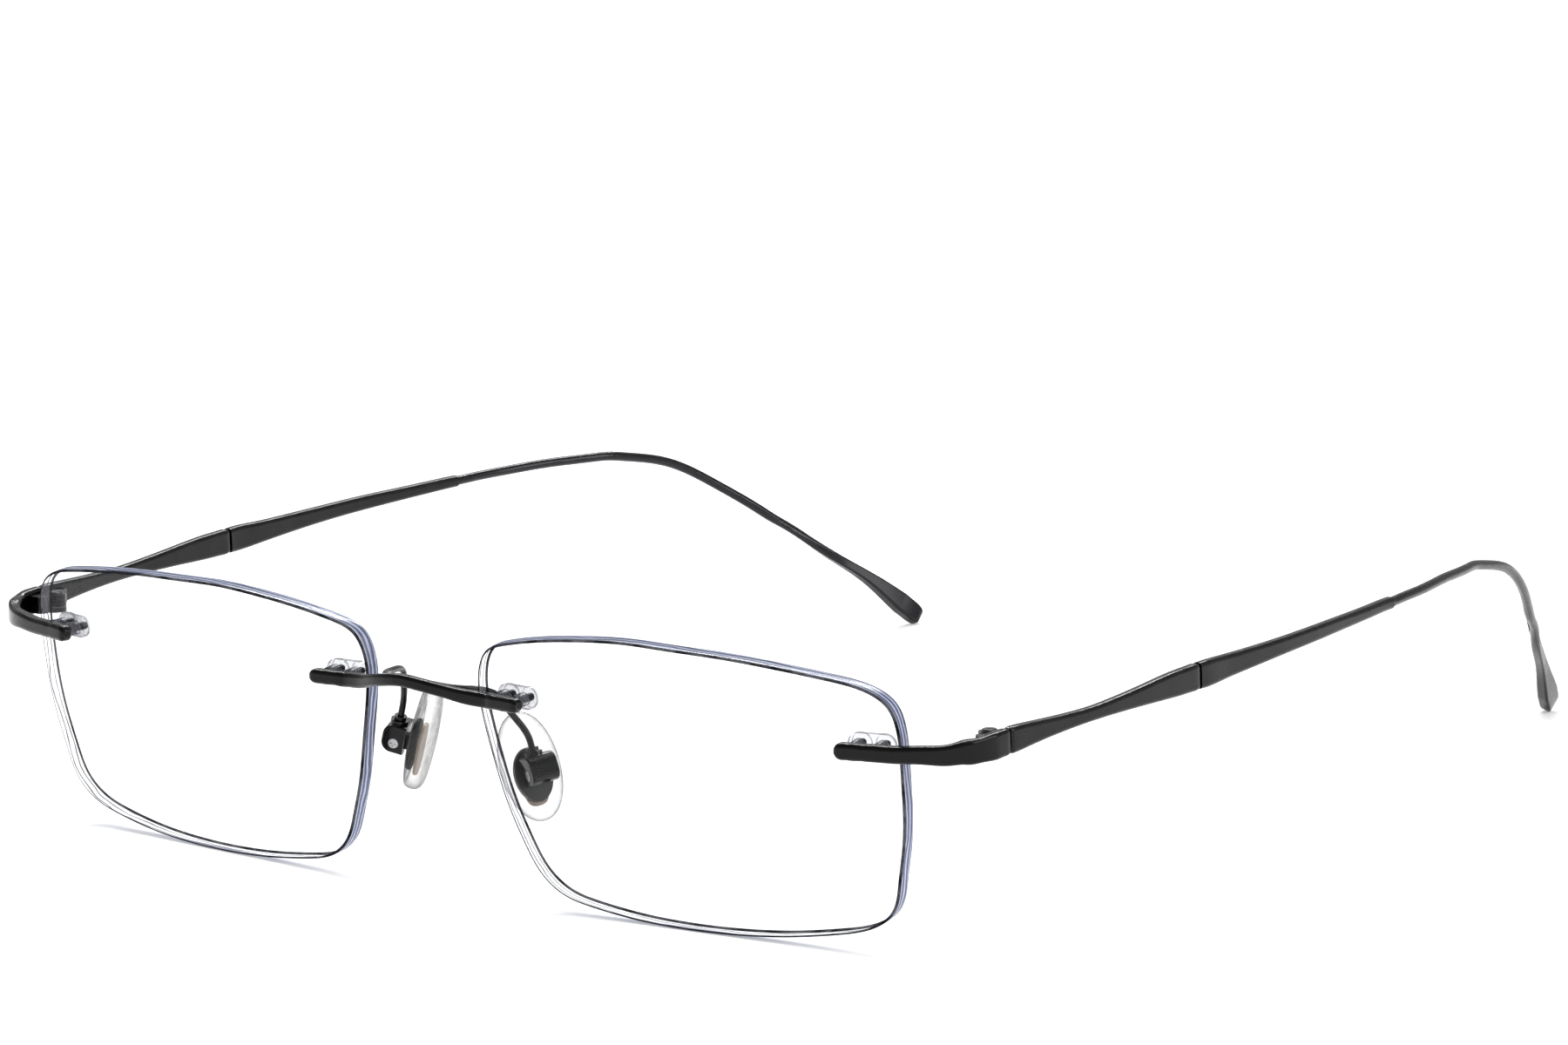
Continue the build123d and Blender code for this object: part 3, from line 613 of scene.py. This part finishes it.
def build_core(side):
    """Ribbed anchor plate moulded inside the silicone, seen through it."""
    verts, faces = [], []
    half_w, half_t = 1.50, 3.05
    rows, cols = 61, 12

    def outline(s):
        f = max(1 - abs(s / half_t) ** 3.0, 0.0) ** (1 / 3.0)
        return half_w * max(f, 0.18)

    grid = {}
    for layer in (0, 1):
        for i in range(rows):
            s = -half_t + 2 * half_t * i / (rows - 1)
            w = outline(s)
            rib = 0.07 * (0.5 + 0.5 * math.cos(2 * math.pi * s / 0.62))
            for j in range(cols + 1):
                q = -w + 2 * w * j / cols
                inner = 1.0 if 0 < j < cols else 0.3
                p = (-0.10 - rib * inner) if layer == 0 else (0.16 + rib * inner * 0.6)
                grid[layer, i, j] = len(verts)
                verts.append(pad_point(side, q - 0.1, s - 1.3, p))
    for i in range(rows - 1):
        for j in range(cols):
            faces.append((grid[0, i, j], grid[0, i, j + 1], grid[0, i + 1, j + 1], grid[0, i + 1, j]))
            faces.append((grid[1, i, j], grid[1, i + 1, j], grid[1, i + 1, j + 1], grid[1, i, j + 1]))
        for j, d in ((0, 1), (cols, 0)):
            a, b, c, e = grid[0, i, j], grid[0, i + 1, j], grid[1, i + 1, j], grid[1, i, j]
            faces.append((a, b, c, e) if d else (e, c, b, a))
    for i in (0, rows - 1):
        for j in range(cols):
            a, b, c, e = grid[0, i, j], grid[0, i, j + 1], grid[1, i, j + 1], grid[1, i, j]
            faces.append((e, c, b, a) if i == 0 else (a, b, c, e))
    ob = make_object(side + "_pad_core", verts, faces, [M_CORE], None, 35.0)
    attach(ob, side + "_pad")
    return ob


for side in ("left", "right"):
    build_lens(side)
    build_pad(side)
    build_core(side)


# ------------------------------------------------------------ stage and light
def build_stage():
    m, nt = new_material("pale_floor")
    k = Net(nt)
    bsdf = k.n("ShaderNodeBsdfPrincipled")
    pos = k.position()
    v = k.noise(pos, 0.004, 3.0, 0.5)
    k.link(k.mix_colour(v, (0.93, 0.93, 0.93, 1), (0.945, 0.945, 0.945, 1)), bsdf.inputs["Base Color"])
    bsdf.inputs["Roughness"].default_value = 0.85
    bsdf.inputs["Specular IOR Level"].default_value = 0.1
    bsdf.inputs["Emission Color"].default_value = (1, 1, 1, 1)
    bsdf.inputs["Emission Strength"].default_value = 0.22
    k.output(bsdf.outputs[0])
    n = 24
    half = 4.0
    verts = [(-half + 2 * half * i / n, -half + 2 * half * j / n, 0.0) for j in range(n + 1) for i in range(n + 1)]
    faces = [(j * (n + 1) + i, j * (n + 1) + i + 1, (j + 1) * (n + 1) + i + 1, (j + 1) * (n + 1) + i) for j in range(n) for i in range(n)]
    me = bpy.data.meshes.new("floor")
    me.from_pydata(verts, [], faces)
    me.materials.append(m)
    ob = bpy.data.objects.new("floor", me)
    ob.location.z = -0.00002
    bpy.context.scene.collection.objects.link(ob)


build_stage()


def area(name, loc, target, size, power, colour=(1, 1, 1)):
    li = bpy.data.lights.new(name, "AREA")
    li.shape = "RECTANGLE"
    li.size, li.size_y = size
    li.energy = power
    li.color = colour
    ob = bpy.data.objects.new(name, li)
    ob.location = loc
    d = Vector(target) - Vector(loc)
    ob.rotation_euler = d.to_track_quat("-Z", "Y").to_euler()
    bpy.context.scene.collection.objects.link(ob)
    return ob


BACK = -ORIGIN_Y * MM
area("softbox_top", (0.10, 0.35 + BACK, 1.5), (0, 0.06 + BACK, 0), (1.3, 0.9), 6.0)
area("softbox_right", (1.3, 0.5 + BACK, 0.75), (0, 0.06 + BACK, 0.01), (0.9, 0.9), 9.0, (1.0, 0.99, 0.98))
fill = area("softbox_left", (-1.2, -0.9 + BACK, 0.8), (0, 0.05 + BACK, 0.01), (0.8, 0.8), 4.0, (0.97, 0.985, 1.0))
fill.visible_glossy = False
area("strip_back", (-0.55, 0.75 + BACK, 0.95), (0, 0.06 + BACK, 0.02), (1.1, 0.14), 13.0)

world = bpy.data.worlds.new("studio")
world.use_nodes = True
nt = world.node_tree
nt.nodes.clear()
k = Net(nt)
tc = k.n("ShaderNodeTexCoord")
xyz = k.n("ShaderNodeSeparateXYZ")
k.link(tc.outputs["Generated"], xyz.inputs[0])
up = k.ramp(xyz.outputs[2], -0.05, 0.95)
col = k.mix_colour(up, (0.62, 0.62, 0.62, 1), (0.30, 0.305, 0.315, 1))
side_ = k.ramp(xyz.outputs[0], -0.9, 0.9, 0.80, 1.12)
bg = k.n("ShaderNodeBackground")
k.link(col, bg.inputs["Color"])
k.link(side_, bg.inputs["Strength"])
cam_bg = k.n("ShaderNodeBackground")
cam_bg.inputs["Color"].default_value = (1, 1, 1, 1)
lp = k.n("ShaderNodeLightPath")
mixed = k.mix_shader(lp.outputs["Is Camera Ray"], bg.outputs[0], cam_bg.outputs[0])
wo = k.n("ShaderNodeOutputWorld")
k.link(mixed, wo.inputs["Surface"])
bpy.context.scene.world = world
bpy.context.scene.view_settings.view_transform = "Standard"
bpy.context.scene.view_settings.exposure = 0.0

# ----------------------------------------------------------------- camera
AZ, EL, ROLL = math.radians(38.91941), math.radians(10.70708), math.radians(-1.10084)
fwd = Vector((-math.sin(AZ) * math.cos(EL), math.cos(AZ) * math.cos(EL), -math.sin(EL)))
right0 = Vector((math.cos(AZ), math.sin(AZ), 0.0))
up0 = right0.cross(fwd)
right1 = math.cos(ROLL) * right0 + math.sin(ROLL) * up0
up1 = -math.sin(ROLL) * right0 + math.cos(ROLL) * up0
cam_data = bpy.data.cameras.new("camera")
cam_data.sensor_fit = "HORIZONTAL"
cam_data.sensor_width = 36.0
cam_data.lens = 189.405
cam_data.clip_start = 0.01
cam_data.clip_end = 20.0
cam = bpy.data.objects.new("camera", cam_data)
rot = Matrix((right1, up1, -fwd)).transposed()
cam.matrix_world = Matrix.Translation(Vector((578.44458, -654.38858 - ORIGIN_Y, 205.41158)) * MM) @ rot.to_4x4()
bpy.context.scene.collection.objects.link(cam)
bpy.context.scene.camera = cam
